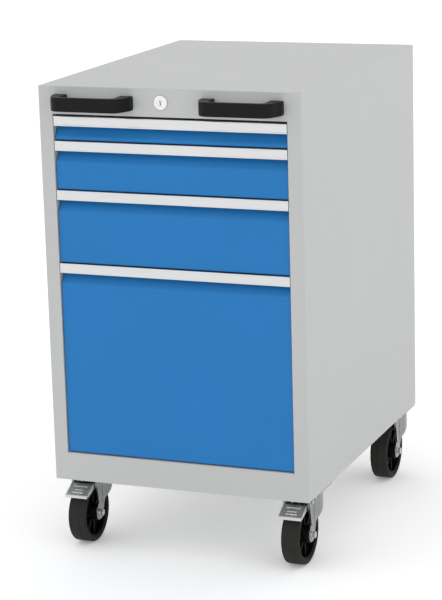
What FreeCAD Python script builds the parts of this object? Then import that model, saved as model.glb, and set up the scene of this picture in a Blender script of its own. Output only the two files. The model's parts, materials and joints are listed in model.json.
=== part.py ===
import FreeCAD, Part
import math
import os

from FreeCAD import Vector

# A mobile steel drawer cabinet: a folded sheet housing with four full-extension drawers,
# a central lock, two push handles and four swivel casters.
# Row frame: millimetres, +Z up, -Y front, origin on the floor below the middle of the whole object.

# Housing
WIDTH = 555.0
DEPTH = 736.0
HEIGHT = 819.0
CASTER_HEIGHT = 150.0
SHEET = 1.5
OPENING_WIDTH = 496.0
REVEAL_DEPTH = 20.0
REAR_FLANGE = 20.0
SILL_HEIGHT = 58.5
BEND = 0.5
SCREW_HEAD_RADIUS = 6.0
SCREW_HEAD = 2.0
SCREW_HEAD_EDGE = 0.8
HANDLE_REACH = 50.0

# Drawers, from the top: front pitches, and the gap above the first one
DRAWER_PITCHES = [50.0, 100.0, 150.0, 400.0]
HEADER_GAP = 4.0
FRONT_GAP = 2.0
FRONT_SIDE_GAP = 2.0
FRONT_SHEET = 1.2
GRIP_DEPTH = 18.0
GRIP_SLOPE_TOP = 22.0
GRIP_SLOPE_END = 42.0
FACE_RECESS = 4.0
GRIP_BEND = 18.0
FACE_BEND = 8.0
RAIL_HEIGHT = 20.0
RAIL_WALL = 2.0
RAIL_DEPTH = 21.0
RAIL_SIDE_GAP = 1.5
RAIL_LIP = 2.5
RAIL_RECESS = 0.5
TRAY_WIDTH = 458.0
TRAY_LENGTH = 640.0
TRAY_SHEET = 1.2
TRAY_TOP_GAP = 6.0
TRAY_BOTTOM_GAP = 8.0
TRAY_HEM = 8.0

# Runners: a channel on the housing, a roller carriage, and a channel on the tray
RUNNER_CENTRE_BELOW_TOP = 24.0
RUNNER_SETBACK = 30.0
CHANNEL_HALF = 14.3
CHANNEL_WALL = 2.0
TRAY_CHANNEL_OPEN = 242.0
CARRIAGE_INNER = 243.5
CARRIAGE_OUTER = 246.5
CARRIAGE_LENGTH = 658.0
CARRIAGE_HALF = 13.0
CABINET_CHANNEL_OPEN = 247.0
UPRIGHT_FACE = 259.5
UPRIGHT_WIDTH = 30.0
UPRIGHT_REAR_SETBACK = 53.0
UPRIGHT_FOOT = 20.0
ROLLER_RADIUS = 12.0
ROLLER_PIN_RADIUS = 4.0
ROLLER_WIDTH = 9.0
ROLLER_GAP = 0.5
INNER_ROLLERS = [8.0, 138.0, 268.0]
OUTER_ROLLERS = [383.0, 513.0, 638.0]
SLOT_PITCH = 25.0

# Push handles
HANDLE_CENTRE_X = 157.0
HANDLE_CENTRE_BELOW_TOP = 30.0
HANDLE_HALF_FOOT = 85.0
HANDLE_HALF_BAR = 71.0
HANDLE_SHOULDER = 14.0
HANDLE_FOOT = 28.0
HANDLE_BAR = 12.0
HANDLE_TALL = 28.0
HANDLE_EDGE = 2.5
HANDLE_SHOULDER_BEND = 12.0
HANDLE_CORNER_BEND = 21.0
HANDLE_INNER_BEND = 9.0
SCREW_RADIUS = 3.0
SCREW_DEPTH = 12.0
SCREW_NUT_RADIUS = 5.8
SCREW_NUT = 4.0

# Central lock
LOCK_X = -13.0
LOCK_BELOW_TOP = 27.0
ROSETTE_RADIUS = 14.0
ROSETTE_THICK = 3.0
ROSETTE_EDGE = 1.2
BARREL_RADIUS = 9.5
BARREL_LENGTH = 17.0
LOCK_NUT_RADIUS = 14.0
LOCK_NUT = 4.0
PLUG_RADIUS = 8.0
PLUG_RECESS = 0.8
RUNNING_GAP = 0.05
KEYWAY_HALF = 1.3
KEYWAY_DROP = 5.5
KEYHOLE_RADIUS = 3.0
KEYHOLE_RISE = 2.0
CAM_ARM = 12.0
CAM_PIN_RADIUS = 3.0
CAM_PIN_LENGTH = 9.0
CAM_THICK = 2.5
KEYHOLE_DEPTH = 9.0
LOCK_STRIP = 2.0
LINK_GAP = 6.5
LINK_HALF = 7.0
LINK_HEAD_WIDE = 9.0
LINK_HEAD_TALL = 20.0
LINK_SLOT_DOWN = 5.0
LINK_SLOT_UP = 16.5
LINK_PEG_RADIUS = 2.5
SLOT_CLEARANCE = 0.8
LOCK_BAR_X = -262.0
LOCK_BAR_HALF = 7.0
LOCK_BAR_FOOT = 20.0
LOCK_BAR_ABOVE_LOCK = 8.0
LIFT_PLATE_LEFT = 10.0
LIFT_PLATE_RIGHT = 32.0
LIFT_PLATE_TALL = 34.0
LIFT_SLOT_HALF = 3.2
LIFT_SLOT_REACH = 27.2
HOOK_HALF = 5.0

# Casters: the wheel's axle lies in front of the swivel axis by the trail
WHEEL_RADIUS = 62.5
TRAIL = 40.0
PLATE_X = 85.0
PLATE_Y = 100.0
PLATE_THICK = 3.0
PLATE_CORNER = 9.0
BOLT_X = 60.0
BOLT_Y = 80.0
BOLT_RADIUS = 4.0
BOLT_CLEARANCE = 0.25
FRONT_PLATE_SETBACK = 51.0
RACE_RADIUS = 31.0
RACE_BOTTOM = -9.5
CROWN_TOP = -10.0
CROWN_THICK = 3.0
KINGPIN_RADIUS = 6.0
LEG_INNER = 24.0
LEG_OUTER = 26.5
LEG_LIP = 29.0
LEG_FRONT = -18.0
LEG_REAR = 63.0
HEAD_RADIUS = 35.0
AXLE_RADIUS = 4.0
NUT_RADIUS = 7.5
BOLT_HEAD = 5.3
NUT = 6.5
HUB_RADIUS = 17.0
HUB_HALF = 22.0
RIM_RADIUS = 52.0
RIM_HALF = 17.0
RIM_WALL = 3.5
WEB_HALF = 4.0
RIB_COUNT = 8
RIB_LONG = 11.0
RIB_HALF = 2.0
TYRE_HALF = 19.5
TREAD_HALF = 15.5
PEDAL_HALF = 24.5
PEDAL_SHEET = 2.0
PEDAL_PIN_RADIUS = 2.5
RIB_RISE = 1.5
PEDAL_RIBS = [(15.0, 3.0, 9.5), (10.0, 13.0, 20.0), (12.0, 24.0, 27.5)]

# Worked out from the sizes above
HALF_WIDTH = WIDTH / 2
FRONT = HANDLE_REACH - (DEPTH + HANDLE_REACH + SCREW_HEAD) / 2
BACK = FRONT + DEPTH
BOTTOM = CASTER_HEIGHT
TOP = CASTER_HEIGHT + HEIGHT
HALF_OPENING = OPENING_WIDTH / 2
SILL_TOP = BOTTOM + SILL_HEIGHT
FIRST_RAIL_TOP = SILL_TOP + sum(DRAWER_PITCHES)
HEADER_BOTTOM = FIRST_RAIL_TOP + HEADER_GAP
RUNNER_FRONT = FRONT + RUNNER_SETBACK
TRAY_FRONT = FRONT + RAIL_DEPTH
HALF_TRAY = TRAY_WIDTH / 2
HANDLE_Z = TOP - HANDLE_CENTRE_BELOW_TOP
LOCK_Z = TOP - LOCK_BELOW_TOP
CASTER_X = HALF_WIDTH - PLATE_X / 2
FRONT_SWIVEL_Y = FRONT + FRONT_PLATE_SETBACK + PLATE_Y / 2
REAR_SWIVEL_Y = BACK - PLATE_Y / 2
AXLE_Z = WHEEL_RADIUS - CASTER_HEIGHT


# ---------- shared shapes ----------

def box(x0, x1, y0, y1, z0, z1):
    return Part.makeBox(x1 - x0, y1 - y0, z1 - z0, Vector(x0, y0, z0))


def rod(radius, start, end):
    axis = end - start
    return Part.makeCylinder(radius, axis.Length, start, axis)


def tube(outer, inner, start, end):
    return rod(outer, start, end).cut(rod(inner, start, end))


def hexagon(radius, start, end):
    """A hexagonal head or nut between two points, with the given corner radius."""
    axis = end - start
    turn = FreeCAD.Rotation(Vector(0, 0, 1), axis)
    corners = []
    for i in range(7):
        angle = math.radians(60 * i)
        flat = Vector(radius * math.cos(angle), radius * math.sin(angle), 0)
        corners.append(start + turn.multVec(flat))
    return Part.Face(Part.makePolygon(corners)).extrude(axis)


def plan(u, v):
    """A point of an outline seen from above."""
    return Vector(u, v, 0)


def side(u, v):
    """A point of an outline seen from the side: depth and height."""
    return Vector(0, u, v)


def rounded_face(corners):
    """The face inside a closed outline of (point, radius), each corner rounded by a tangent arc."""
    turns = []
    for i, (point, radius) in enumerate(corners):
        back = (corners[i - 1][0] - point).normalize()
        ahead = (corners[(i + 1) % len(corners)][0] - point).normalize()
        if radius == 0:
            turns.append((point, None, point))
            continue
        half = back.getAngle(ahead) / 2
        reach = radius / math.tan(half)
        inward = (back + ahead).normalize()
        middle = point + inward * (radius / math.sin(half) - radius)
        turns.append((point + back * reach, middle, point + ahead * reach))
    edges = []
    for i, (start, middle, end) in enumerate(turns):
        before = turns[i - 1][2]
        if before.distanceToPoint(start) > 1e-6:
            edges.append(Part.makeLine(before, start))
        if middle is not None:
            edges.append(Part.Arc(start, middle, end).toShape())
    return Part.Face(Part.Wire(edges))


def folded_face(place, path, thickness):
    """The section of a bent sheet lying to the left of its path of (u, v, inner bend radius).
    A radius of None leaves that fold sharp on both sides."""
    count = len(path)
    steps = []
    for i in range(count - 1):
        du = path[i + 1][0] - path[i][0]
        dv = path[i + 1][1] - path[i][1]
        length = math.hypot(du, dv)
        steps.append((du / length, dv / length))
    near = []
    far = []
    for i, (u, v, bend) in enumerate(path):
        before = steps[max(i - 1, 0)]
        after = steps[min(i, count - 2)]
        share = thickness / (1 + before[0] * after[0] + before[1] * after[1])
        offset_u = -(before[1] + after[1]) * share
        offset_v = (before[0] + after[0]) * share
        left_turn = before[0] * after[1] - before[1] * after[0] > 0
        if i in (0, count - 1) or bend is None:
            near_radius = 0
            far_radius = 0
        else:
            near_radius = bend + thickness if left_turn else bend
            far_radius = bend if left_turn else bend + thickness
        near.append((place(u, v), near_radius))
        far.append((place(u + offset_u, v + offset_v), far_radius))
    return rounded_face(near + far[::-1])


def mirrored(shape):
    return shape.mirror(Vector(0, 0, 0), Vector(1, 0, 0))


def both_sides(shape):
    return [shape, mirrored(shape)]


def group(shapes):
    return Part.makeCompound(shapes)


# ---------- housing ----------

def side_panel():
    """Right side sheet: reveal, front post, side and rear flange, folded from one piece."""
    path = [
        (HALF_OPENING, FRONT + REVEAL_DEPTH, 0),
        (HALF_OPENING, FRONT, None),
        (HALF_WIDTH, FRONT, BEND),
        (HALF_WIDTH, BACK, BEND),
        (HALF_WIDTH - REAR_FLANGE, BACK, 0),
    ]
    sheet = folded_face(plan, path, SHEET).extrude(Vector(0, 0, HEIGHT - SHEET))
    sheet.translate(Vector(0, 0, BOTTOM))
    flange_end = FRONT + REVEAL_DEPTH
    inside = HALF_OPENING + SHEET
    base_notch = box(HALF_OPENING, inside, FRONT + SHEET, flange_end, BOTTOM, BOTTOM + SHEET)
    return sheet.cut(base_notch)


def top_panel():
    corner = BEND + SHEET
    outline = [
        (plan(-HALF_WIDTH, FRONT), corner),
        (plan(HALF_WIDTH, FRONT), corner),
        (plan(HALF_WIDTH, BACK), corner),
        (plan(-HALF_WIDTH, BACK), corner),
    ]
    sheet = rounded_face(outline).extrude(Vector(0, 0, SHEET))
    rim = [e for e in sheet.Edges if e.BoundBox.ZMin > SHEET - 0.01]
    sheet = sheet.makeFillet(SHEET * 0.8, rim)
    sheet.translate(Vector(0, 0, TOP - SHEET))
    return sheet


def caster_places():
    """Name and swivel point of each caster, at the level of the housing's underside."""
    return [
        ("front_left", Vector(-CASTER_X, FRONT_SWIVEL_Y, BOTTOM)),
        ("front_right", Vector(CASTER_X, FRONT_SWIVEL_Y, BOTTOM)),
        ("rear_left", Vector(-CASTER_X, REAR_SWIVEL_Y, BOTTOM)),
        ("rear_right", Vector(CASTER_X, REAR_SWIVEL_Y, BOTTOM)),
    ]


def bolt_points(swivel):
    points = []
    for dx in (-BOLT_X / 2, BOLT_X / 2):
        for dy in (-BOLT_Y / 2, BOLT_Y / 2):
            points.append(swivel + Vector(dx, dy, 0))
    return points


def base_panel():
    inner = HALF_WIDTH - SHEET - BEND
    sheet = box(-inner, inner, FRONT + SHEET, BACK - 2 * SHEET, BOTTOM, BOTTOM + SHEET)
    holes = []
    for name, swivel in caster_places():
        for point in bolt_points(swivel):
            top = point + Vector(0, 0, SHEET)
            holes.append(rod(BOLT_RADIUS + BOLT_CLEARANCE, point, top))
    return sheet.cut(holes)


def back_screw_points():
    points = []
    for x in (-HALF_WIDTH + REAR_FLANGE / 2, HALF_WIDTH - REAR_FLANGE / 2):
        for i in range(5):
            z = BOTTOM + 40 + i * (HEIGHT - 80) / 4
            points.append(Vector(x, BACK, z))
    return points


def back_panel():
    inner = HALF_WIDTH - SHEET - BEND
    return box(-inner, inner, BACK - 2 * SHEET, BACK - SHEET, BOTTOM, TOP - SHEET)


def back_screws():
    """Flat round screw heads that hold the rear flanges to the back sheet."""
    heads = []
    for point in back_screw_points():
        head = rod(SCREW_HEAD_RADIUS, point, point + Vector(0, SCREW_HEAD, 0))
        rim = [e for e in head.Edges if e.BoundBox.YMin > BACK + SCREW_HEAD - 0.01]
        heads.append(head.makeFillet(SCREW_HEAD_EDGE, rim))
    return group(heads)


def handle_screw_points():
    points = []
    for centre in (-HANDLE_CENTRE_X, HANDLE_CENTRE_X):
        for offset in (-1, 1):
            x = centre + offset * (HANDLE_HALF_FOOT - HANDLE_FOOT / 2)
            points.append(Vector(x, FRONT, HANDLE_Z))
    return points


def front_header():
    path = [
        (FRONT, TOP - SHEET, 0),
        (FRONT, HEADER_BOTTOM, BEND),
        (FRONT + REVEAL_DEPTH, HEADER_BOTTOM, 0),
    ]
    sheet = folded_face(side, path, SHEET).extrude(Vector(OPENING_WIDTH, 0, 0))
    sheet.translate(Vector(-HALF_OPENING, 0, 0))
    through = Vector(0, SHEET, 0)
    holes = [rod(SCREW_RADIUS, p, p + through) for p in handle_screw_points()]
    lock = Vector(LOCK_X, FRONT, LOCK_Z)
    holes.append(rod(BARREL_RADIUS, lock, lock + through))
    return sheet.cut(holes)


def front_sill():
    path = [
        (FRONT + REVEAL_DEPTH, SILL_TOP, 0),
        (FRONT, SILL_TOP, BEND),
        (FRONT, BOTTOM, 0),
    ]
    sheet = folded_face(side, path, SHEET).extrude(Vector(OPENING_WIDTH, 0, 0))
    sheet.translate(Vector(-HALF_OPENING, 0, 0))
    return sheet


def upright(front_edge):
    """Slotted channel inside the right wall that carries the runners."""
    rear_edge = front_edge + UPRIGHT_WIDTH
    wall = HALF_WIDTH - SHEET
    path = [
        (wall, rear_edge, 0),
        (UPRIGHT_FACE, rear_edge, BEND),
        (UPRIGHT_FACE, front_edge, BEND),
        (wall, front_edge, 0),
    ]
    low = BOTTOM + UPRIGHT_FOOT
    high = TOP - SHEET
    channel = folded_face(plan, path, SHEET).extrude(Vector(0, 0, high - low))
    channel.translate(Vector(0, 0, low))
    middle = front_edge + UPRIGHT_WIDTH / 2
    slots = []
    for i in range(int((HEADER_BOTTOM - SILL_TOP) / SLOT_PITCH)):
        z = SILL_TOP + SLOT_PITCH * (i + 0.5)
        slots.append(box(UPRIGHT_FACE - 1, UPRIGHT_FACE + 3, middle - 6, middle + 6, z - 2, z + 2))
    return channel.cut(slots)


def runner_uprights():
    front = both_sides(upright(RUNNER_FRONT))
    rear = both_sides(upright(BACK - UPRIGHT_REAR_SETBACK))
    return group(front + rear)


# ---------- push handles ----------

def push_handle(centre):
    """Bow handle, seen from above: tapering legs, swept outer corners and a straight bar."""
    shoulder = FRONT - HANDLE_SHOULDER
    grip = FRONT - HANDLE_REACH
    inside = grip + HANDLE_BAR
    foot = HANDLE_HALF_FOOT
    inner = HANDLE_HALF_FOOT - HANDLE_FOOT
    outline = [
        (plan(-foot, FRONT), 0),
        (plan(-foot, shoulder), HANDLE_SHOULDER_BEND),
        (plan(-HANDLE_HALF_BAR, grip), HANDLE_CORNER_BEND),
        (plan(HANDLE_HALF_BAR, grip), HANDLE_CORNER_BEND),
        (plan(foot, shoulder), HANDLE_SHOULDER_BEND),
        (plan(foot, FRONT), 0),
        (plan(inner, FRONT), 0),
        (plan(inner, inside), HANDLE_INNER_BEND),
        (plan(-inner, inside), HANDLE_INNER_BEND),
        (plan(-inner, FRONT), 0),
    ]
    bow = rounded_face(outline).extrude(Vector(0, 0, HANDLE_TALL))
    rims = []
    for edge in bow.Edges:
        level = abs(edge.BoundBox.ZLength) < 0.01
        on_panel = edge.BoundBox.YMin > FRONT - 0.01
        if level and not on_panel:
            rims.append(edge)
    bow = bow.makeFillet(HANDLE_EDGE, rims)
    bow.translate(Vector(centre, 0, HANDLE_Z - HANDLE_TALL / 2))
    for point in handle_screw_points():
        bow = bow.cut(rod(SCREW_RADIUS, point, point - Vector(0, SCREW_DEPTH + 2, 0)))
    return bow


def handle_screws():
    screws = []
    for point in handle_screw_points():
        seat = point + Vector(0, SHEET, 0)
        shank = rod(SCREW_RADIUS, point - Vector(0, SCREW_DEPTH, 0), seat)
        head = hexagon(SCREW_NUT_RADIUS, seat, seat + Vector(0, SCREW_NUT, 0))
        screws.append(shank.fuse(head))
    return group(screws)


# ---------- central lock ----------

def lock_cylinder():
    centre = Vector(LOCK_X, FRONT, LOCK_Z)
    rosette = rod(ROSETTE_RADIUS, centre - Vector(0, ROSETTE_THICK, 0), centre)
    rim = [e for e in rosette.Edges if e.BoundBox.YMax < FRONT - ROSETTE_THICK + 0.01]
    rosette = rosette.makeFillet(ROSETTE_EDGE, rim)
    barrel = rod(BARREL_RADIUS, centre, centre + Vector(0, BARREL_LENGTH, 0))
    bore_start = centre - Vector(0, ROSETTE_THICK, 0)
    bore_end = centre + Vector(0, BARREL_LENGTH, 0)
    bore = rod(PLUG_RADIUS + RUNNING_GAP, bore_start, bore_end)
    body = rosette.fuse(barrel).cut(bore)
    nut_start = centre + Vector(0, SHEET, 0)
    nut_end = nut_start + Vector(0, LOCK_NUT, 0)
    nut = hexagon(LOCK_NUT_RADIUS, nut_start, nut_end)
    nut = nut.cut(rod(BARREL_RADIUS, nut_start, nut_end))
    return group([body, nut])


def cam_pin_start():
    """Where the cam pin stands when the lock is open: up and to the left of the plug."""
    reach = CAM_ARM * math.sqrt(0.5)
    return Vector(LOCK_X - reach, FRONT, LOCK_Z + reach)


def lock_plug():
    """Key plug with its cam plate and cam pin."""
    centre = Vector(LOCK_X, FRONT, LOCK_Z)
    face = centre - Vector(0, ROSETTE_THICK - PLUG_RECESS, 0)
    rear = centre + Vector(0, BARREL_LENGTH + 0.5, 0)
    plug = rod(PLUG_RADIUS, face, rear)
    left = LOCK_X - KEYWAY_HALF
    right = LOCK_X + KEYWAY_HALF
    low = LOCK_Z - KEYWAY_DROP
    high = LOCK_Z + KEYHOLE_RISE
    keyway = box(left, right, face.y, FRONT + KEYHOLE_DEPTH, low, high)
    rise = Vector(0, 0, KEYHOLE_RISE)
    keyhole = rod(KEYHOLE_RADIUS, face + rise, centre + rise + Vector(0, KEYHOLE_DEPTH, 0))
    plug = plug.cut([keyway, keyhole])
    cam_plate = Vector(0, CAM_THICK, 0)
    arm_half = CAM_PIN_RADIUS + 2
    pin = cam_pin_start()
    pin_rear = Vector(pin.x, rear.y, pin.z)
    disc = rod(PLUG_RADIUS + 1, rear, rear + cam_plate)
    tip = rod(arm_half, pin_rear, pin_rear + cam_plate)
    peg = rod(CAM_PIN_RADIUS, pin_rear, pin_rear + Vector(0, CAM_PIN_LENGTH, 0))
    arm = box(-arm_half, arm_half, 0, CAM_THICK, 0, CAM_ARM)
    arm.rotate(Vector(0, 0, 0), Vector(0, 1, 0), -45)
    arm.translate(rear)
    return plug.fuse([disc, tip, arm, peg]).removeSplitter()


def lock_link_front():
    return FRONT + BARREL_LENGTH + LINK_GAP


def lock_link():
    """Flat strip from the cam to the locking bar: it slides sideways."""
    pin = cam_pin_start()
    y0 = lock_link_front()
    y1 = y0 + LOCK_STRIP
    left = pin.x - LINK_HEAD_WIDE
    right = pin.x + LINK_HEAD_WIDE
    strip = box(LOCK_BAR_X - 6, right, y0, y1, LOCK_Z - LINK_HALF, LOCK_Z + LINK_HALF)
    head = box(left, right, y0, y1, LOCK_Z - LINK_HEAD_TALL, LOCK_Z + LINK_HEAD_TALL)
    gap = CAM_PIN_RADIUS + SLOT_CLEARANCE
    slot_low = LOCK_Z - LINK_SLOT_DOWN
    slot = box(pin.x - gap, pin.x + gap, y0 - 1, y1 + 1, slot_low, LOCK_Z + LINK_SLOT_UP)
    peg_start = Vector(LOCK_BAR_X, y0 - LOCK_STRIP - SLOT_CLEARANCE, LOCK_Z)
    peg = rod(LINK_PEG_RADIUS, peg_start, Vector(LOCK_BAR_X, y0, LOCK_Z))
    return strip.fuse([head, peg]).cut(slot).removeSplitter()


def lock_bar():
    """Upright bar behind the left post, lifted by the link's peg in its sloping slot."""
    y1 = lock_link_front() - 0.5
    y0 = y1 - LOCK_STRIP
    low = SILL_TOP + LOCK_BAR_FOOT
    high = LOCK_Z + LOCK_BAR_ABOVE_LOCK
    bar = box(LOCK_BAR_X - LOCK_BAR_HALF, LOCK_BAR_X + LOCK_BAR_HALF, y0, y1, low, high)
    left = LOCK_BAR_X - LIFT_PLATE_LEFT
    right = LOCK_BAR_X + LIFT_PLATE_RIGHT
    plate = box(left, right, y0, y1, high - LIFT_PLATE_TALL, high)
    rail_top = FIRST_RAIL_TOP
    hooks = []
    for pitch in DRAWER_PITCHES:
        z = rail_top - RUNNER_CENTRE_BELOW_TOP
        hook_x = LOCK_BAR_X + LOCK_BAR_HALF - 2
        hooks.append(box(hook_x, hook_x + 6, y0, y1 + 2, z - HOOK_HALF, z + HOOK_HALF))
        rail_top -= pitch
    half = LIFT_SLOT_HALF
    slot = box(-half, LIFT_SLOT_REACH, y0 - 1, y1 + 1, -half, half)
    slot.rotate(Vector(0, 0, 0), Vector(0, 1, 0), 45)
    slot.translate(Vector(LOCK_BAR_X, 0, LOCK_Z))
    return bar.fuse([plate] + hooks).cut(slot).removeSplitter()


# ---------- drawers ----------

def drawer_rail_tops():
    """Number, height of the rail's top edge and pitch of each drawer, from the top down."""
    tops = []
    level = FIRST_RAIL_TOP
    for i, pitch in enumerate(DRAWER_PITCHES):
        tops.append((i + 1, level, pitch))
        level -= pitch
    return tops


def grip_rail(top):
    """Aluminium grip profile: front wall with two lips and a curled edge, top wall, fixing leg."""
    back = FRONT + RAIL_DEPTH
    leg = FRONT + GRIP_DEPTH + FRONT_SHEET
    wall = FRONT + RAIL_WALL
    sunk = FRONT + RAIL_RECESS
    outline = [
        (side(FRONT, top), 1.5),
        (side(FRONT, top - RAIL_LIP), 0.1),
        (side(sunk, top - RAIL_LIP - RAIL_RECESS), 0),
        (side(sunk, top - RAIL_HEIGHT + RAIL_LIP + RAIL_RECESS), 0),
        (side(FRONT, top - RAIL_HEIGHT + RAIL_LIP), 0.1),
        (side(FRONT, top - RAIL_HEIGHT), 0.9),
        (side(wall + 2.5, top - RAIL_HEIGHT), 0.9),
        (side(wall + 2.5, top - RAIL_HEIGHT + RAIL_WALL), 0.9),
        (side(wall, top - RAIL_HEIGHT + RAIL_WALL), 0.6),
        (side(wall, top - RAIL_WALL), 1.5),
        (side(leg, top - RAIL_WALL), 0),
        (side(leg, top - RAIL_HEIGHT + 6), 0),
        (side(back, top - RAIL_HEIGHT + 6), 0),
        (side(back, top), 0.8),
    ]
    half = HALF_OPENING - RAIL_SIDE_GAP
    rail = rounded_face(outline).extrude(Vector(2 * half, 0, 0))
    rail.translate(Vector(-half, 0, 0))
    return rail


def front_path(top, pitch):
    """Outer face of a drawer front from its top edge down: finger recess, slope, face, foot."""
    return [
        (FRONT + GRIP_DEPTH, top - RAIL_WALL, 0),
        (FRONT + GRIP_DEPTH, top - GRIP_SLOPE_TOP, GRIP_BEND),
        (FRONT + FACE_RECESS, top - GRIP_SLOPE_END, FACE_BEND),
        (FRONT + FACE_RECESS, top - pitch + FRONT_GAP, BEND),
        (FRONT + RAIL_DEPTH, top - pitch + FRONT_GAP, 0),
    ]


def drawer_front(top, pitch):
    """Folded front sheet, closed by an end sheet on each side."""
    path = front_path(top, pitch)
    half = HALF_OPENING - FRONT_SIDE_GAP
    sheet = folded_face(side, path, FRONT_SHEET).extrude(Vector(2 * half, 0, 0))
    sheet.translate(Vector(-half, 0, 0))
    radii = [0, GRIP_BEND + FRONT_SHEET, FACE_BEND, BEND + FRONT_SHEET, 0]
    end_outline = [(side(p[0], p[1]), r) for p, r in zip(path, radii)]
    back_edge = FRONT + GRIP_DEPTH + FRONT_SHEET
    end_outline.append((side(FRONT + RAIL_DEPTH, top - RAIL_HEIGHT), 0))
    end_outline.append((side(back_edge, top - RAIL_HEIGHT), 0))
    end_outline.append((side(back_edge, top - RAIL_WALL), 0))
    end = rounded_face(end_outline).extrude(Vector(FRONT_SHEET, 0, 0))
    end.translate(Vector(half - FRONT_SHEET, 0, 0))
    return sheet.fuse(both_sides(end)).removeSplitter()


def tray(top, pitch):
    """Open steel tray with hemmed top edges."""
    rear = TRAY_FRONT + TRAY_LENGTH
    low = top - pitch + TRAY_BOTTOM_GAP
    high = top - TRAY_TOP_GAP
    floor = low + TRAY_SHEET
    body = box(-HALF_TRAY, HALF_TRAY, TRAY_FRONT, rear, low, high)
    cuts = []
    for wall, ceiling in ((TRAY_SHEET, high - TRAY_HEM), (2 * TRAY_SHEET, high)):
        inner = HALF_TRAY - wall
        cuts.append(box(-inner, inner, TRAY_FRONT + wall, rear - wall, floor, ceiling))
    return body.cut(cuts)


def channel(open_x, web_x, y0, y1, centre_z):
    """C-shaped runner rail with its web at web_x and its mouth at open_x."""
    low = centre_z - CHANNEL_HALF
    high = centre_z + CHANNEL_HALF
    inward = CHANNEL_WALL if web_x > open_x else -CHANNEL_WALL
    bar = box(min(open_x, web_x), max(open_x, web_x), y0, y1, low, high)
    left = min(open_x, web_x) - inward
    right = max(open_x, web_x) - inward
    return bar.cut(box(left, right, y0, y1, low + CHANNEL_WALL, high - CHANNEL_WALL))


def drawer_box(top, pitch):
    """The tray with the two runner channels fixed to its walls."""
    z = top - RUNNER_CENTRE_BELOW_TOP
    rail = channel(TRAY_CHANNEL_OPEN, HALF_TRAY, RUNNER_FRONT, TRAY_FRONT + TRAY_LENGTH, z)
    return group([tray(top, pitch)] + both_sides(rail))


def cabinet_runners(top):
    z = top - RUNNER_CENTRE_BELOW_TOP
    rear = BACK - UPRIGHT_REAR_SETBACK + UPRIGHT_WIDTH
    rail = channel(CABINET_CHANNEL_OPEN, UPRIGHT_FACE, RUNNER_FRONT, rear, z)
    return group(both_sides(rail))


def roller(x0, x1, y, z):
    start = Vector(x0, y, z)
    end = Vector(x1, y, z)
    return tube(ROLLER_RADIUS, ROLLER_PIN_RADIUS, start, end)


def runner_carriages(top):
    """Middle member on each side: a plate with rollers for the tray channel in front
    and for the housing channel behind."""
    z = top - RUNNER_CENTRE_BELOW_TOP
    start = RUNNER_FRONT + 2
    low = z - CARRIAGE_HALF
    high = z + CARRIAGE_HALF
    plate = box(CARRIAGE_INNER, CARRIAGE_OUTER, start, start + CARRIAGE_LENGTH, low, high)
    reach = ROLLER_WIDTH + 2 * ROLLER_GAP
    pins = []
    rollers = []
    for offset in INNER_ROLLERS:
        y = start + offset + ROLLER_RADIUS
        x = CARRIAGE_INNER
        pins.append(rod(ROLLER_PIN_RADIUS, Vector(x - reach, y, z), Vector(x, y, z)))
        rollers.append(roller(x - ROLLER_GAP - ROLLER_WIDTH, x - ROLLER_GAP, y, z))
    for offset in OUTER_ROLLERS:
        y = start + offset - ROLLER_RADIUS
        x = CARRIAGE_OUTER
        pins.append(rod(ROLLER_PIN_RADIUS, Vector(x, y, z), Vector(x + reach, y, z)))
        rollers.append(roller(x + ROLLER_GAP, x + ROLLER_GAP + ROLLER_WIDTH, y, z))
    right = [plate.fuse(pins)] + rollers
    return group(right + [mirrored(s) for s in right])


# ---------- casters, built round a swivel point at the origin ----------

def caster_plate():
    half_x = PLATE_X / 2
    half_y = PLATE_Y / 2
    outline = [
        (Vector(-half_x, -half_y, -PLATE_THICK), PLATE_CORNER),
        (Vector(half_x, -half_y, -PLATE_THICK), PLATE_CORNER),
        (Vector(half_x, half_y, -PLATE_THICK), PLATE_CORNER),
        (Vector(-half_x, half_y, -PLATE_THICK), PLATE_CORNER),
    ]
    plate = rounded_face(outline).extrude(Vector(0, 0, PLATE_THICK))
    race = rod(RACE_RADIUS, Vector(0, 0, RACE_BOTTOM), Vector(0, 0, -PLATE_THICK))
    crown_bottom = CROWN_TOP - CROWN_THICK
    pin = rod(KINGPIN_RADIUS, Vector(0, 0, crown_bottom - 1), Vector(0, 0, -PLATE_THICK))
    head = hexagon(11.0, Vector(0, 0, crown_bottom - 6.5), Vector(0, 0, crown_bottom - 0.5))
    holes = []
    for point in bolt_points(Vector(0, 0, -PLATE_THICK)):
        holes.append(rod(BOLT_RADIUS + BOLT_CLEARANCE, point, point + Vector(0, 0, PLATE_THICK)))
    return plate.cut(holes).fuse([race, pin, head]).removeSplitter()


def leg_outline():
    """Fork leg seen from the side, in depth from the axle and height from the housing."""
    return [
        (side(LEG_FRONT, CROWN_TOP), 0),
        (side(LEG_REAR, CROWN_TOP), 0),
        (side(60, -32), 14),
        (side(20, -62), 12),
        (side(15, -102), 13),
        (side(-16, -102), 13),
        (side(-16, -78), 7),
        (side(-7, -70), 6),
        (side(-15, -30), 30),
    ]


def leg_lip():
    """Stiffening lip bent outwards along the leg's front edge."""
    path = [
        (LEG_FRONT, CROWN_TOP, 0),
        (-15, -30, 30),
        (-7.8, -66, 0),
    ]
    strip = folded_face(side, path, LEG_OUTER - LEG_INNER)
    lip = strip.extrude(Vector(LEG_LIP - LEG_INNER, 0, 0))
    lip.translate(Vector(LEG_INNER, -TRAIL, 0))
    return lip


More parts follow.
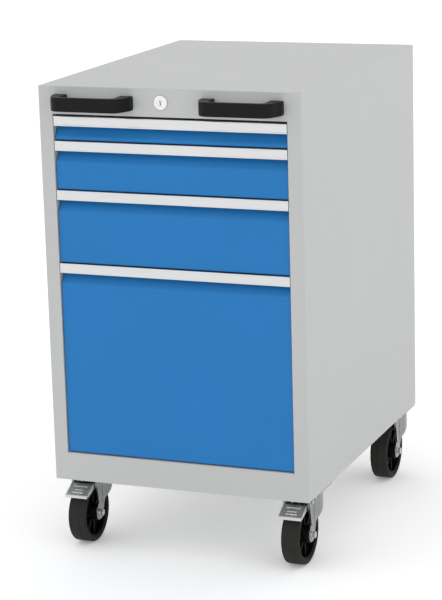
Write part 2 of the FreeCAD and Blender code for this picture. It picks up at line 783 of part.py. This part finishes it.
def fork_leg():
    """Right leg: flat beside the wheel, and bulging round the swivel head behind it."""
    sheet = LEG_OUTER - LEG_INNER
    outline = rounded_face(leg_outline())
    flat = outline.extrude(Vector(sheet, 0, 0))
    wide = outline.extrude(Vector(HEAD_RADIUS, 0, 0))
    for shape in (flat, wide):
        shape.translate(Vector(LEG_INNER, -TRAIL, 0))
    low = Vector(0, 0, -LEG_REAR - TRAIL)
    high = Vector(0, 0, CROWN_TOP)
    bulge = tube(HEAD_RADIUS, HEAD_RADIUS - sheet, low, high).common(wide)
    core = rod(HEAD_RADIUS - sheet, low, high)
    return flat.cut(core).fuse([bulge, leg_lip()])


def pedal_pivot():
    return Vector(0, 4 - TRAIL, -20)


def caster_fork(braked):
    crown_bottom = CROWN_TOP - CROWN_THICK
    crown = box(-LEG_OUTER, LEG_OUTER, LEG_FRONT - TRAIL, 0, crown_bottom, CROWN_TOP)
    head = rod(HEAD_RADIUS, Vector(0, 0, crown_bottom), Vector(0, 0, CROWN_TOP))
    fork = crown.fuse([head] + both_sides(fork_leg()))
    cuts = [rod(KINGPIN_RADIUS + RUNNING_GAP, Vector(0, 0, -20), Vector(0, 0, 0))]
    far = Vector(2 * LEG_OUTER, 0, 0)
    axle = Vector(0, -TRAIL, AXLE_Z)
    cuts.append(rod(AXLE_RADIUS, axle - far, axle + far))
    if braked:
        pivot = pedal_pivot()
        cuts.append(rod(PEDAL_PIN_RADIUS + RUNNING_GAP, pivot - far, pivot + far))
    return fork.cut(cuts).removeSplitter()


def caster_axle():
    """Axle bolt, nut, washer and the two spacer tubes beside the hub."""
    axle = Vector(0, -TRAIL, AXLE_Z)
    right = Vector(1, 0, 0)
    bolt = rod(AXLE_RADIUS, axle - right * LEG_OUTER, axle + right * (LEG_OUTER + 8))
    head = hexagon(NUT_RADIUS, axle - right * (LEG_OUTER + BOLT_HEAD), axle - right * LEG_OUTER)
    washer = tube(8.5, AXLE_RADIUS, axle + right * LEG_OUTER, axle + right * (LEG_OUTER + 1.5))
    nut = hexagon(NUT_RADIUS, axle + right * (LEG_OUTER + 1.5), axle + right * (LEG_OUTER + 7))
    nut = nut.cut(rod(AXLE_RADIUS, axle, axle + right * 60))
    spacer = tube(9.0, AXLE_RADIUS, axle + right * (HUB_HALF + 0.4), axle + right * LEG_INNER)
    return group([bolt.fuse(head), washer, nut] + both_sides(spacer))


def spun(profile):
    """A solid of revolution about the axle from (radius, x, corner radius) points."""
    corners = [(Vector(x, -TRAIL, AXLE_Z + r), rounding) for r, x, rounding in profile]
    axle = Vector(0, -TRAIL, AXLE_Z)
    return rounded_face(corners).revolve(axle, Vector(1, 0, 0), 360)


def wheel_rim():
    bore = AXLE_RADIUS + RUNNING_GAP
    ring = RIM_RADIUS - RIM_WALL
    profile = [
        (bore, -HUB_HALF, 0),
        (HUB_RADIUS, -HUB_HALF, 1.5),
        (HUB_RADIUS + 2, -WEB_HALF, 2),
        (ring, -WEB_HALF, 2),
        (ring, -RIM_HALF, 1),
        (RIM_RADIUS, -RIM_HALF, 0),
        (RIM_RADIUS, RIM_HALF, 0),
        (ring, RIM_HALF, 1),
        (ring, WEB_HALF, 2),
        (HUB_RADIUS + 2, WEB_HALF, 2),
        (HUB_RADIUS, HUB_HALF, 1.5),
        (bore, HUB_HALF, 0),
    ]
    rim = spun(profile)
    axle = Vector(0, -TRAIL, AXLE_Z)
    ribs = []
    for i in range(RIB_COUNT):
        rib = box(-RIB_LONG, RIB_LONG, -RIB_HALF, RIB_HALF, HUB_RADIUS - 1, ring + 1)
        rib.rotate(Vector(0, 0, 0), Vector(1, 0, 0), i * 360 / RIB_COUNT)
        rib.translate(axle)
        ribs.append(rib)
    return rim.fuse(ribs).removeSplitter()


def tyre():
    profile = [
        (RIM_RADIUS, -RIM_HALF, 0),
        (RIM_RADIUS + 2, -TYRE_HALF, 1),
        (WHEEL_RADIUS - 5, -TYRE_HALF, 2.5),
        (WHEEL_RADIUS, -TREAD_HALF, 3),
        (WHEEL_RADIUS, TREAD_HALF, 3),
        (WHEEL_RADIUS - 5, TYRE_HALF, 2.5),
        (RIM_RADIUS + 2, TYRE_HALF, 1),
        (RIM_RADIUS, RIM_HALF, 0),
    ]
    return spun(profile)


def brake_pedal():
    """Total-stop pedal: sloping tread plate with raised ribs, two cheeks and a pivot pin."""
    pivot = pedal_pivot()
    path = [
        (-60, -40, 0),
        (-57.5, -35, 2),
        (-26, -19, 6),
        (-19, -18.25, 0),
    ]
    tread = folded_face(side, path[::-1], PEDAL_SHEET).extrude(Vector(2 * PEDAL_HALF, 0, 0))
    tread.translate(Vector(-PEDAL_HALF, -TRAIL, 0))
    slope = math.degrees(math.atan2(16, 31.5))
    ribs = []
    for half_width, start, end in PEDAL_RIBS:
        rib = box(-half_width, half_width, -end, -start, -PEDAL_SHEET / 2, RIB_RISE)
        rim = [e for e in rib.Edges if e.BoundBox.ZMin > RIB_RISE - 0.01]
        rib = rib.makeFillet(RIB_RISE * 0.6, rim)
        rib.rotate(Vector(0, 0, 0), Vector(1, 0, 0), slope)
        rib.translate(Vector(0, -26 - TRAIL, -19))
        ribs.append(rib)
    cheek_outline = [
        (side(10, -15), 4),
        (side(-14, -18), 0),
        (side(-26, -20), 0),
        (side(-52, -33.5), 0),
        (side(-52, -42), 4),
        (side(-24, -33), 20),
        (side(10, -28), 4),
    ]
    cheek = rounded_face(cheek_outline).extrude(Vector(2.5, 0, 0))
    cheek.translate(Vector(20.2, -TRAIL, 0))
    right = Vector(1, 0, 0)
    pin = rod(PEDAL_PIN_RADIUS, pivot - right * (LEG_OUTER + 1.5), pivot + right * (LEG_OUTER + 1.5))
    cap = rod(4.2, pivot + right * (LEG_OUTER + 0.3), pivot + right * (LEG_OUTER + 1.8))
    pieces = ribs + both_sides(cheek) + [pin] + both_sides(cap)
    return tread.fuse(pieces).removeSplitter()


def caster_bolts():
    """Bolts and nuts that hold the caster plates to the base."""
    pieces = []
    up = Vector(0, 0, 1)
    for name, swivel in caster_places():
        for point in bolt_points(swivel):
            under = point - up * PLATE_THICK
            head = hexagon(NUT_RADIUS, under - up * BOLT_HEAD, under)
            shank = rod(BOLT_RADIUS, under, point + up * 11)
            inside = point + up * SHEET
            nut = hexagon(NUT_RADIUS, inside, inside + up * NUT)
            nut = nut.cut(rod(BOLT_RADIUS, inside, inside + up * NUT))
            pieces.extend([head.fuse(shank), nut])
    return group(pieces)


# ---------- the assembly ----------

def housing_parts():
    right = side_panel()
    return {
        "right_side_panel": right,
        "left_side_panel": mirrored(right),
        "top_panel": top_panel(),
        "base_panel": base_panel(),
        "back_panel": back_panel(),
        "back_panel_screws": back_screws(),
        "front_header": front_header(),
        "front_sill": front_sill(),
        "runner_uprights": runner_uprights(),
        "left_push_handle": push_handle(-HANDLE_CENTRE_X),
        "right_push_handle": push_handle(HANDLE_CENTRE_X),
        "handle_screws": handle_screws(),
        "lock_cylinder": lock_cylinder(),
        "lock_plug": lock_plug(),
        "lock_link": lock_link(),
        "lock_bar": lock_bar(),
        "caster_bolts": caster_bolts(),
    }


def drawer_parts():
    parts = {}
    for number, top, pitch in drawer_rail_tops():
        parts[f"drawer_box_{number}"] = drawer_box(top, pitch)
        parts[f"drawer_front_{number}"] = drawer_front(top, pitch)
        parts[f"grip_rail_{number}"] = grip_rail(top)
        parts[f"cabinet_runners_{number}"] = cabinet_runners(top)
        parts[f"runner_carriages_{number}"] = runner_carriages(top)
    return parts


def caster_parts():
    parts = {}
    for name, swivel in caster_places():
        braked = name.startswith("front")
        local = {
            f"caster_plate_{name}": caster_plate(),
            f"caster_fork_{name}": caster_fork(braked),
            f"caster_axle_{name}": caster_axle(),
            f"wheel_rim_{name}": wheel_rim(),
            f"tyre_{name}": tyre(),
        }
        if braked:
            local[f"brake_pedal_{name}"] = brake_pedal()
        for shape in local.values():
            shape.translate(swivel)
        parts.update(local)
    return parts


def main():
    os.makedirs("parts", exist_ok=True)
    parts = {}
    parts.update(housing_parts())
    parts.update(drawer_parts())
    parts.update(caster_parts())
    for name, shape in parts.items():
        solids = shape.Solids
        volume = sum(s.Volume for s in solids) / 1000
        print(f"{name}: {len(solids)} solids, {volume:.1f} cm3, valid {shape.isValid()}")
        shape.exportStep(f"parts/{name}.step")
    print(len(parts), "nodes")


main()
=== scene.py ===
"""Looks of the mobile drawer cabinet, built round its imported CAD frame. Metres, row frame."""

import json
import math

import bmesh
import bpy
from mathutils import Matrix, Vector


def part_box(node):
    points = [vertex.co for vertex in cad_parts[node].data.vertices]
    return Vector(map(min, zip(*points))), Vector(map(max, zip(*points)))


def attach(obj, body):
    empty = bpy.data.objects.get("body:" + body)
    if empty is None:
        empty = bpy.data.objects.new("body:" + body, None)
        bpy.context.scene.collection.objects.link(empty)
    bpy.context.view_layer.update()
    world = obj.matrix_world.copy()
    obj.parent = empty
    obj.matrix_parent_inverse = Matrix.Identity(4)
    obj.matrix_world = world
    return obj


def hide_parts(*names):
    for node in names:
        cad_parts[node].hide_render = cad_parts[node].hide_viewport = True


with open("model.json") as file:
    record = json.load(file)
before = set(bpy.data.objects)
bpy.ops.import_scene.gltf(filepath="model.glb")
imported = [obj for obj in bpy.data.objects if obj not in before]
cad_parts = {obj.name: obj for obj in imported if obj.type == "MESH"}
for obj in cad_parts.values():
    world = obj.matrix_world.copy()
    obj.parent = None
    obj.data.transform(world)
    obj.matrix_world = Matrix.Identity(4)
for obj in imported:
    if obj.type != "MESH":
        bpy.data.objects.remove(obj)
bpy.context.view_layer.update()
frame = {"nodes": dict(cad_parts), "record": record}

# Camera, placed from the middle of the housing's underside
CAMERA_OFFSET = Vector((1.6796, -4.2947, 1.4267))
CAMERA_AZIMUTH = math.radians(21.891)
CAMERA_ELEVATION = math.radians(13.587)
CAMERA_ROLL = math.radians(-1.617)
CAMERA_LENS = 132.7
SENSOR = 36.0

# Light: a white surround, and one soft light that shines on a point above the housing's underside
SKY_ZENITH = 0.72
SKY_HORIZON = 1.46
KEY_POWER = 4.0
KEY_WIDTH = 2.4
KEY_DEPTH = 1.6
KEY_AIM = Vector((0, 0, 0.4))
KEY_FROM_AIM = Vector((-0.4, -1.6, 2.6))

# Floor
FLOOR_HALF = 12.0
FLOOR_ROUGHNESS = 0.9
FLOOR_GLOW = 0.16

# Colours, linear
HOUSING_GREY = (0.450, 0.461, 0.456)
TRAY_GREY = (0.420, 0.430, 0.426)
FRONT_BLUE = (0.0138, 0.161, 0.433)
ALUMINIUM = (0.640, 0.643, 0.648)
# Painted highlight for the lips of the rails
ALUMINIUM_LIP_HIGHLIGHT = (0.930, 0.935, 0.940)
ZINC = (0.560, 0.570, 0.580)
# Caster zinc darkened as painted shade, for the darker surroundings that the fork legs reflect; the
# pedals use the brighter zinc as a lit copy
SHADED_FORK_ZINC = (0.290, 0.296, 0.302)
# Painted highlight on the edges of zinc parts
ZINC_EDGE_HIGHLIGHT = (0.900, 0.910, 0.920)
CHROME = (0.780, 0.780, 0.770)
PLASTIC_BLACK = (0.0065, 0.0065, 0.0067)
NYLON_BLACK = (0.0020, 0.0020, 0.0021)
RUBBER_GREY = (0.0185, 0.0188, 0.0162)
FLOOR_WHITE = (0.98, 0.98, 0.98)

# Surfaces: the range that a noise value mostly keeps to, then noise frequencies per metre
NOISE_LOW = 0.3
NOISE_HIGH = 0.7
ORANGE_PEEL = 620
PAINT_CLOUD = 5
# Patches where the painted edge highlight on the paint is stronger
PAINT_HIGHLIGHT_PATCH = 35
PAINT_SHEEN = 160
DRAW_LINES = (6, 1400, 1400)
# Patches where the painted highlight on the rail lips is stronger
LIP_HIGHLIGHT_PATCH = (7, 40, 40)
ZINC_CLOUD = 45
# Patches where the painted edge highlight on the zinc is stronger
ZINC_HIGHLIGHT_PATCH = 60
ROLLING_MARKS = (60, 900, 60)
WIPE_MARKS = 240
SPARK_GRAIN = 1500
PLASTIC_FLOW = 28
TYRE_SCUFF = 70
TYRE_PORES = 900

# Rounded edges, and how much paler the painted edge highlight makes the paint
BEVEL_SAMPLES = 4
EDGE_HIGHLIGHT_PALER = 0.25

# Sockets of a Mix node, once it mixes colours
MIX_FACTOR = 0
MIX_UNDER = 6
MIX_OVER = 7
MIX_RESULT = 2

# Section of the moulded tyre, measured in from its tread and its side faces
TYRE_STEPS = 96
TYRE_DEPTH = 0.0105
TYRE_BEAD = 0.0025
BEAD_CORNER = 0.3
SHOULDER_TALL = 0.0048
SHOULDER_WIDE = 0.0040
SHOULDER_STEPS = 8
RING_BELOW_TREAD = 0.0066
RING_HALF = 0.0009
RING_DEEP = 0.0005
SEAM_HALF = 0.0004
SEAM_CREST = SEAM_HALF / 3
SEAM_RISE = 0.0002
TYRE_CREASE = math.radians(40)


# ---------- node materials ----------

def node(tree, kind, **settings):
    """Adds a shader node; each setting is the name of one of its inputs or of its properties."""
    made = tree.nodes.new(kind)
    for key, value in settings.items():
        if key in made.inputs:
            made.inputs[key].default_value = value
        else:
            setattr(made, key, value)
    return made


def blank_material(name, metallic, roughness, specular=0.5):
    """Returns a new material, its node tree and its main shader."""
    material = bpy.data.materials.new(name)
    material.use_nodes = True
    shader = material.node_tree.nodes["Principled BSDF"]
    shader.inputs["Metallic"].default_value = metallic
    shader.inputs["Roughness"].default_value = roughness
    shader.inputs["Specular IOR Level"].default_value = specular
    return material, material.node_tree, shader


def noise(tree, frequencies, detail=2.0):
    """The value of a noise over object space, with its own frequency along each axis."""
    place = node(tree, "ShaderNodeTexCoord")
    scale = node(tree, "ShaderNodeMapping", Scale=frequencies)
    cloud = node(tree, "ShaderNodeTexNoise", Scale=1.0, Detail=detail)
    tree.links.new(place.outputs["Object"], scale.inputs["Vector"])
    tree.links.new(scale.outputs["Vector"], cloud.inputs["Vector"])
    return cloud.outputs["Fac"]


def even(frequency):
    """The same frequency along all three axes."""
    return (frequency, frequency, frequency)


def vary(tree, value, low, high, socket):
    """Drives a socket from low to high as a noise value goes over its usual range."""
    ramp = node(tree, "ShaderNodeMapRange")
    ramp.inputs["From Min"].default_value = NOISE_LOW
    ramp.inputs["From Max"].default_value = NOISE_HIGH
    ramp.inputs["To Min"].default_value = low
    ramp.inputs["To Max"].default_value = high
    tree.links.new(value, ramp.inputs["Value"])
    tree.links.new(ramp.outputs["Result"], socket)


def tint(tree, value, colour, spread, socket):
    """Drives a colour socket between a slightly darker and a slightly lighter colour."""
    ramp = node(tree, "ShaderNodeValToRGB")
    ends = ramp.color_ramp.elements
    ends[0].position = NOISE_LOW
    ends[1].position = NOISE_HIGH
    ends[0].color = (*[c * (1 - spread) for c in colour], 1)
    ends[1].color = (*[c * (1 + spread) for c in colour], 1)
    tree.links.new(value, ramp.inputs["Fac"])
    tree.links.new(ramp.outputs["Color"], socket)


def relief(tree, shader, value, height, edge):
    """Bumps of a height in metres, over edges softened by a small radius."""
    soft = node(tree, "ShaderNodeBevel", samples=BEVEL_SAMPLES, Radius=edge)
    bump = node(tree, "ShaderNodeBump", Strength=1.0, Distance=height)
    tree.links.new(value, bump.inputs["Height"])
    tree.links.new(soft.outputs["Normal"], bump.inputs["Normal"])
    tree.links.new(bump.outputs["Normal"], shader.inputs["Normal"])


def edge_highlight_mask(tree, width, gain):
    """0 on flat ground, rising to 1 on edges: how far a rounded normal leans from the true one. It
    marks where highlights are painted on edges.
    """
    soft = node(tree, "ShaderNodeBevel", samples=BEVEL_SAMPLES, Radius=width)
    true = node(tree, "ShaderNodeNewGeometry")
    agree = node(tree, "ShaderNodeVectorMath", operation="DOT_PRODUCT")
    tree.links.new(soft.outputs["Normal"], agree.inputs[0])
    tree.links.new(true.outputs["Normal"], agree.inputs[1])
    lean = node(tree, "ShaderNodeMath", operation="SUBTRACT", use_clamp=True)
    lean.inputs[0].default_value = 1.0
    tree.links.new(agree.outputs["Value"], lean.inputs[1])
    edge_amount = node(tree, "ShaderNodeMath", operation="MULTIPLY", use_clamp=True)
    edge_amount.inputs[1].default_value = gain
    tree.links.new(lean.outputs["Value"], edge_amount.inputs[0])
    return edge_amount.outputs["Value"]


def paint_edge_highlight(tree, shader, edge_amount, colour, patch):
    """Paints a highlight on edges: turns the base colour towards a lighter one there, more in some
    patches than others.
    """
    base = shader.inputs["Base Color"]
    under = base.links[0].from_socket
    amount = node(tree, "ShaderNodeMath", operation="MULTIPLY", use_clamp=True)
    tree.links.new(edge_amount, amount.inputs[0])
    tree.links.new(patch, amount.inputs[1])
    blend = node(tree, "ShaderNodeMix", data_type="RGBA")
    tree.links.new(amount.outputs["Value"], blend.inputs[MIX_FACTOR])
    tree.links.new(under, blend.inputs[MIX_UNDER])
    blend.inputs[MIX_OVER].default_value = (*colour, 1)
    tree.links.new(blend.outputs[MIX_RESULT], base)


def powder_coat(name, colour, specular):
    """Baked powder paint: fine orange peel, satin, faintly cloudy, with a painted highlight that
    makes its edges lighter.
    """
    material, tree, shader = blank_material(name, metallic=0.0, roughness=0.45, specular=specular)
    peel = noise(tree, even(ORANGE_PEEL), detail=3.0)
    cloud = noise(tree, even(PAINT_CLOUD))
    tint(tree, cloud, colour, spread=0.012, socket=shader.inputs["Base Color"])
    # Painted highlight: the paint's edges turn paler
    highlight_colour = [c + (1 - c) * EDGE_HIGHLIGHT_PALER for c in colour]
    edges = edge_highlight_mask(tree, width=0.0015, gain=2.0)
    paint_edge_highlight(tree, shader, edges, highlight_colour, patch=noise(tree, even(PAINT_HIGHLIGHT_PATCH), detail=4.0))
    sheen = noise(tree, even(PAINT_SHEEN))
    vary(tree, sheen, low=0.40, high=0.50, socket=shader.inputs["Roughness"])
    relief(tree, shader, peel, height=0.00005, edge=0.0006)
    return material


def brushed_aluminium(name):
    """Extruded and anodised: faint draw lines along X, with a painted highlight on its lips."""
    material, tree, shader = blank_material(name, metallic=1.0, roughness=0.36)
    lines = noise(tree, DRAW_LINES, detail=4.0)
    tint(tree, lines, ALUMINIUM, spread=0.05, socket=shader.inputs["Base Color"])
    # Painted highlight: the lips turn bright aluminium
    highlight_patch = noise(tree, LIP_HIGHLIGHT_PATCH)
    lips = edge_highlight_mask(tree, width=0.0026, gain=3.0)
    paint_edge_highlight(tree, shader, lips, ALUMINIUM_LIP_HIGHLIGHT, patch=highlight_patch)
    vary(tree, lines, low=0.30, high=0.42, socket=shader.inputs["Roughness"])
    shader.inputs["Anisotropic"].default_value = 0.4
    relief(tree, shader, lines, height=0.00001, edge=0.0005)
    return material


def zinc_plate(name, colour):
    """Pressed steel with bright zinc: cloudy patches, fine rolling marks and painted highlights on
    its edges.
    """
    material, tree, shader = blank_material(name, metallic=1.0, roughness=0.28)
    cloud = noise(tree, even(ZINC_CLOUD), detail=4.0)
    marks = noise(tree, ROLLING_MARKS)
    tint(tree, cloud, colour, spread=0.08, socket=shader.inputs["Base Color"])
    # Painted highlight: the edges turn bright zinc
    edges = edge_highlight_mask(tree, width=0.0016, gain=3.0)
    paint_edge_highlight(tree, shader, edges, ZINC_EDGE_HIGHLIGHT, patch=noise(tree, even(ZINC_HIGHLIGHT_PATCH), detail=3.0))
    vary(tree, cloud, low=0.18, high=0.34, socket=shader.inputs["Roughness"])
    relief(tree, shader, marks, height=0.00001, edge=0.0005)
    return material


def chrome_plate(name):
    """Polished plating of the lock, dulled a little where it gets wiped."""
    material, tree, shader = blank_material(name, metallic=1.0, roughness=0.16)
    wipe = noise(tree, even(WIPE_MARKS))
    tint(tree, wipe, CHROME, spread=0.04, socket=shader.inputs["Base Color"])
    vary(tree, wipe, low=0.12, high=0.22, socket=shader.inputs["Roughness"])
    relief(tree, shader, wipe, height=0.000004, edge=0.0003)
    return material


def moulded_plastic(name, colour, roughness):
    """Black plastic with a fine spark-eroded grain."""
    material, tree, shader = blank_material(name, metallic=0.0, roughness=roughness, specular=0.12)
    grain = noise(tree, even(SPARK_GRAIN))
    flow = noise(tree, even(PLASTIC_FLOW), detail=3.0)
    tint(tree, flow, colour, spread=0.12, socket=shader.inputs["Base Color"])
    glossier = roughness - 0.05
    duller = roughness + 0.06
    vary(tree, flow, glossier, duller, socket=shader.inputs["Roughness"])
    relief(tree, shader, grain, height=0.00006, edge=0.0007)
    return material


def rubber(name):
    """Solid tyre rubber: dull, with scuffed patches."""
    material, tree, shader = blank_material(name, metallic=0.0, roughness=0.78, specular=0.2)
    scuff = noise(tree, even(TYRE_SCUFF), detail=5.0)
    pores = noise(tree, even(TYRE_PORES))
    tint(tree, scuff, RUBBER_GREY, spread=0.22, socket=shader.inputs["Base Color"])
    vary(tree, scuff, low=0.66, high=0.86, socket=shader.inputs["Roughness"])
    relief(tree, shader, pores, height=0.00008, edge=0.0006)
    return material


def make_materials():
    """Every material, under the name of the slot that the record gives its nodes."""
    return {
        "housing_paint": powder_coat("housing_paint", HOUSING_GREY, specular=0.3),
        "tray_paint": powder_coat("tray_paint", TRAY_GREY, specular=0.3),
        "front_paint": powder_coat("front_paint", FRONT_BLUE, specular=0.2),
        "rail_aluminium": brushed_aluminium("rail_aluminium"),
        "handle_plastic": moulded_plastic("handle_plastic", PLASTIC_BLACK, roughness=0.42),
        "lock_chrome": chrome_plate("lock_chrome"),
        "zinc_steel": zinc_plate("zinc_steel", ZINC),
        "caster_zinc": zinc_plate("caster_zinc", SHADED_FORK_ZINC),
        "tyre_rubber": rubber("tyre_rubber"),
        "rim_plastic": moulded_plastic("rim_plastic", NYLON_BLACK, roughness=0.5),
    }


def dress_cad_nodes(materials):
    """Every CAD node gets the material of its slot in the record; the pedals get the brighter zinc,
    a lit copy of the caster zinc, whose darker colour is painted shade.
    """
    for entry in frame["record"]["subparts"]:
        name = entry["node"]
        # Lit copy: the pedals take the brighter zinc, the forks keep the painted-shade caster zinc
        wanted = "zinc_steel" if name.startswith("brake_pedal") else entry["material_slot"]
        piece = frame["nodes"][name]
        piece.data.materials.clear()
        piece.data.materials.append(materials[wanted])


# ---------- moulded tyres ----------

def tyre_half_section(radius, half):
    """(radius, offset) from the rim edge out to the seam: bead, ring groove, shoulder and tread."""
    inner = radius - TYRE_DEPTH
    corner = TYRE_BEAD * BEAD_CORNER
    section = [
        (inner, half - TYRE_BEAD),
        (inner + corner, half - corner),
        (inner + TYRE_BEAD, half),
    ]
    ring = radius - RING_BELOW_TREAD
    groove = ((-1.0, 0), (-0.5, RING_DEEP), (0.5, RING_DEEP), (1.0, 0))
    for step, sunk in groove:
        section.append((ring + step * RING_HALF, half - sunk))
    tread = radius - SEAM_RISE
    for i in range(SHOULDER_STEPS + 1):
        angle = math.radians(90 * i / SHOULDER_STEPS)
        along = half - SHOULDER_WIDE + SHOULDER_WIDE * math.cos(angle)
        section.append((tread - SHOULDER_TALL + SHOULDER_TALL * math.sin(angle), along))
    section.append((tread, SEAM_HALF))
    section.append((radius, SEAM_CREST))
    return section


def moulded_tyre(wheel, material):
    """Tyre turned from its section round the axle, in place of the plain CAD one."""
    low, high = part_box(f"tyre_{wheel}")
    centre = (low + high) / 2
    one_side = tyre_half_section((high.z - low.z) / 2, (high.x - low.x) / 2)
    section = one_side + [(r, -x) for r, x in reversed(one_side)]
    count = len(section)
    shape = bmesh.new()
    rings = []
    for i in range(TYRE_STEPS):
        angle = math.tau * i / TYRE_STEPS
        ring = []
        for r, x in section:
            ring.append(shape.verts.new((x, r * math.cos(angle), r * math.sin(angle))))
        rings.append(ring)
    for i, ring in enumerate(rings):
        after = rings[(i + 1) % TYRE_STEPS]
        for k in range(count):
            n = (k + 1) % count
            face = shape.faces.new((ring[k], ring[n], after[n], after[k]))
            face.smooth = True
    bmesh.ops.recalc_face_normals(shape, faces=shape.faces)
    mesh = bpy.data.meshes.new(f"moulded_tyre_{wheel}")
    shape.to_mesh(mesh)
    shape.free()
    mesh.set_sharp_from_angle(angle=TYRE_CREASE)
    mesh.materials.append(material)
    piece = bpy.data.objects.new(mesh.name, mesh)
    piece.location = centre
    bpy.context.scene.collection.objects.link(piece)
    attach(piece, f"wheel_{wheel}")
    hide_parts(f"tyre_{wheel}")


def make_tyres(material):
    for end in ("front", "rear"):
        for hand in ("left", "right"):
            moulded_tyre(f"{end}_{hand}", material)


# ---------- stage, light and camera ----------

def housing_base_centre():
    """Middle of the housing's underside, which the top sheet covers all of."""
    low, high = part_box("top_panel")
    middle = (low + high) / 2
    return Vector((middle.x, middle.y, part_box("base_panel")[0].z))


def make_camera():
    """Sees the cabinet from its front right, from a little above, with a little roll."""
    azimuth, elevation, roll = CAMERA_AZIMUTH, CAMERA_ELEVATION, CAMERA_ROLL
    back = Vector((
        math.sin(azimuth) * math.cos(elevation),
        -math.cos(azimuth) * math.cos(elevation),
        math.sin(elevation),
    ))
    level = Vector((math.cos(azimuth), math.sin(azimuth), 0))
    upright = back.cross(level)
    right = math.cos(roll) * level + math.sin(roll) * upright
    up = -math.sin(roll) * level + math.cos(roll) * upright
    camera = bpy.data.objects.new("camera", bpy.data.cameras.new("camera"))
    camera.data.lens = CAMERA_LENS
    camera.data.sensor_width = SENSOR
    turn = Matrix((right, up, back)).transposed().to_4x4()
    camera.matrix_world = Matrix.Translation(housing_base_centre() + CAMERA_OFFSET) @ turn
    bpy.context.scene.collection.objects.link(camera)
    bpy.context.scene.camera = camera


def make_floor():
    """Plain white floor, with a faint glow of its own so that it looks as white as the sky."""
    far = FLOOR_HALF
    mesh = bpy.data.meshes.new("floor")
    corners = [(-far, -far, 0), (far, -far, 0), (far, far, 0), (-far, far, 0)]
    mesh.from_pydata(corners, [], [(0, 1, 2, 3)])
    floor = bpy.data.objects.new("floor", mesh)
    bpy.context.scene.collection.objects.link(floor)
    material, _, shader = blank_material("floor", metallic=0.0, roughness=FLOOR_ROUGHNESS)
    shader.inputs["Base Color"].default_value = (*FLOOR_WHITE, 1)
    shader.inputs["Emission Color"].default_value = (1, 1, 1, 1)
    shader.inputs["Emission Strength"].default_value = FLOOR_GLOW
    mesh.materials.append(material)


def make_sky():
    """White surround, about twice as bright at the horizon as overhead."""
    world = bpy.data.worlds.new("studio")
    bpy.context.scene.world = world
    world.use_nodes = True
    tree = world.node_tree
    place = node(tree, "ShaderNodeTexCoord")
    split = node(tree, "ShaderNodeSeparateXYZ")
    ramp = node(tree, "ShaderNodeMapRange")
    ramp.inputs["To Min"].default_value = SKY_HORIZON
    ramp.inputs["To Max"].default_value = SKY_ZENITH
    tree.links.new(place.outputs["Generated"], split.inputs["Vector"])
    tree.links.new(split.outputs["Z"], ramp.inputs["Value"])
    background = tree.nodes["Background"]
    background.inputs["Color"].default_value = (1, 1, 1, 1)
    tree.links.new(ramp.outputs["Result"], background.inputs["Strength"])


def make_softbox():
    """One large soft light above and in front, for the shadows under rails and handles."""
    light = bpy.data.lights.new("softbox", "AREA")
    light.shape = "RECTANGLE"
    light.size = KEY_WIDTH
    light.size_y = KEY_DEPTH
    light.energy = KEY_POWER
    lamp = bpy.data.objects.new("softbox", light)
    lamp.location = housing_base_centre() + KEY_AIM + KEY_FROM_AIM
    lamp.rotation_euler = KEY_FROM_AIM.to_track_quat("Z", "Y").to_euler()
    bpy.context.scene.collection.objects.link(lamp)


def set_display():
    """Colours as they are, without a film look."""
    view = bpy.context.scene.view_settings
    view.view_transform = "Standard"
    view.look = "None"


make_camera()
make_floor()
make_sky()
make_softbox()
set_display()
materials = make_materials()
dress_cad_nodes(materials)
make_tyres(materials["tyre_rubber"])
